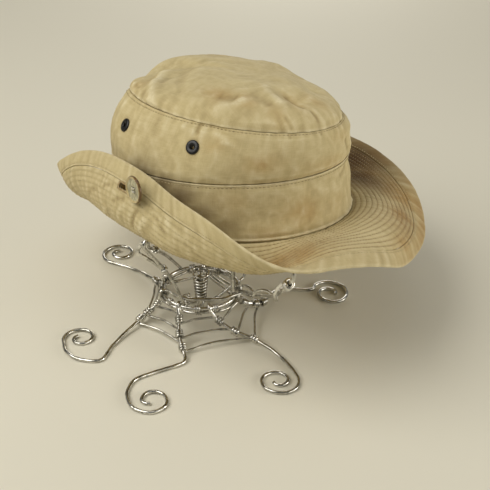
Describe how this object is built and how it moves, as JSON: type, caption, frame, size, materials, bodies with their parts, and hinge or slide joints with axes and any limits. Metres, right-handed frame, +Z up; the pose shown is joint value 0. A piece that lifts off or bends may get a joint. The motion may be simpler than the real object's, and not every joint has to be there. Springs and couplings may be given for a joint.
{
  "type": "safari hat on a wire stand",
  "caption": "Cloth safari hat with a stitched, bound brim buttoned up on one side and eyelets in the crown, on an openwork wire stand with curled feet.",
  "frame": {"origin": "middle of the bounding box's underside, on the floor the stand rests on", "axes": "+Z up, the hat's front towards -Y and the wearer's right towards -X"},
  "size_m": [0.3042, 0.3246, 0.1997],
  "materials": {
    "khaki_twill": "washed cotton twill, matt, with rows of stitching",
    "blackened_metal": "satin black",
    "horn_button": "semi-gloss, mottled, with a darker rim",
    "khaki_thread": "matt",
    "bright_wire": "bright drawn wire"
  },
  "bodies": {
    "root": {"arm_1": "bright_wire", "arm_2": "bright_wire", "arm_3": "bright_wire", "arm_4": "bright_wire", "brim": "khaki_twill", "brim_binding": "khaki_twill", "button": "horn_button", "button_thread": "khaki_thread", "crown_tip": "khaki_twill", "eyelet_1": "blackened_metal", "eyelet_2": "blackened_metal", "eyelet_3": "blackened_metal", "eyelet_4": "blackened_metal", "hub_coil": "bright_wire", "hub_core": "bright_wire", "hub_ring": "bright_wire", "leg_1": "bright_wire", "leg_2": "bright_wire", "leg_3": "bright_wire", "leg_4": "bright_wire", "leg_5": "bright_wire", "leg_6": "bright_wire", "lower_band": "khaki_twill", "post_1": "bright_wire", "post_2": "bright_wire", "side_panel": "khaki_twill", "spoke_1": "bright_wire", "spoke_2": "bright_wire", "spoke_3": "bright_wire", "web_1_1": "bright_wire", "web_1_2": "bright_wire", "web_1_3": "bright_wire", "web_1_4": "bright_wire", "web_1_5": "bright_wire", "web_1_6": "bright_wire", "web_2_1": "bright_wire", "web_2_2": "bright_wire", "web_2_3": "bright_wire", "web_2_4": "bright_wire", "web_2_5": "bright_wire", "web_2_6": "bright_wire", "web_3_1": "bright_wire", "web_3_2": "bright_wire", "web_3_3": "bright_wire", "web_3_4": "bright_wire", "web_3_5": "bright_wire", "web_3_6": "bright_wire"}
  },
  "joints": []
}
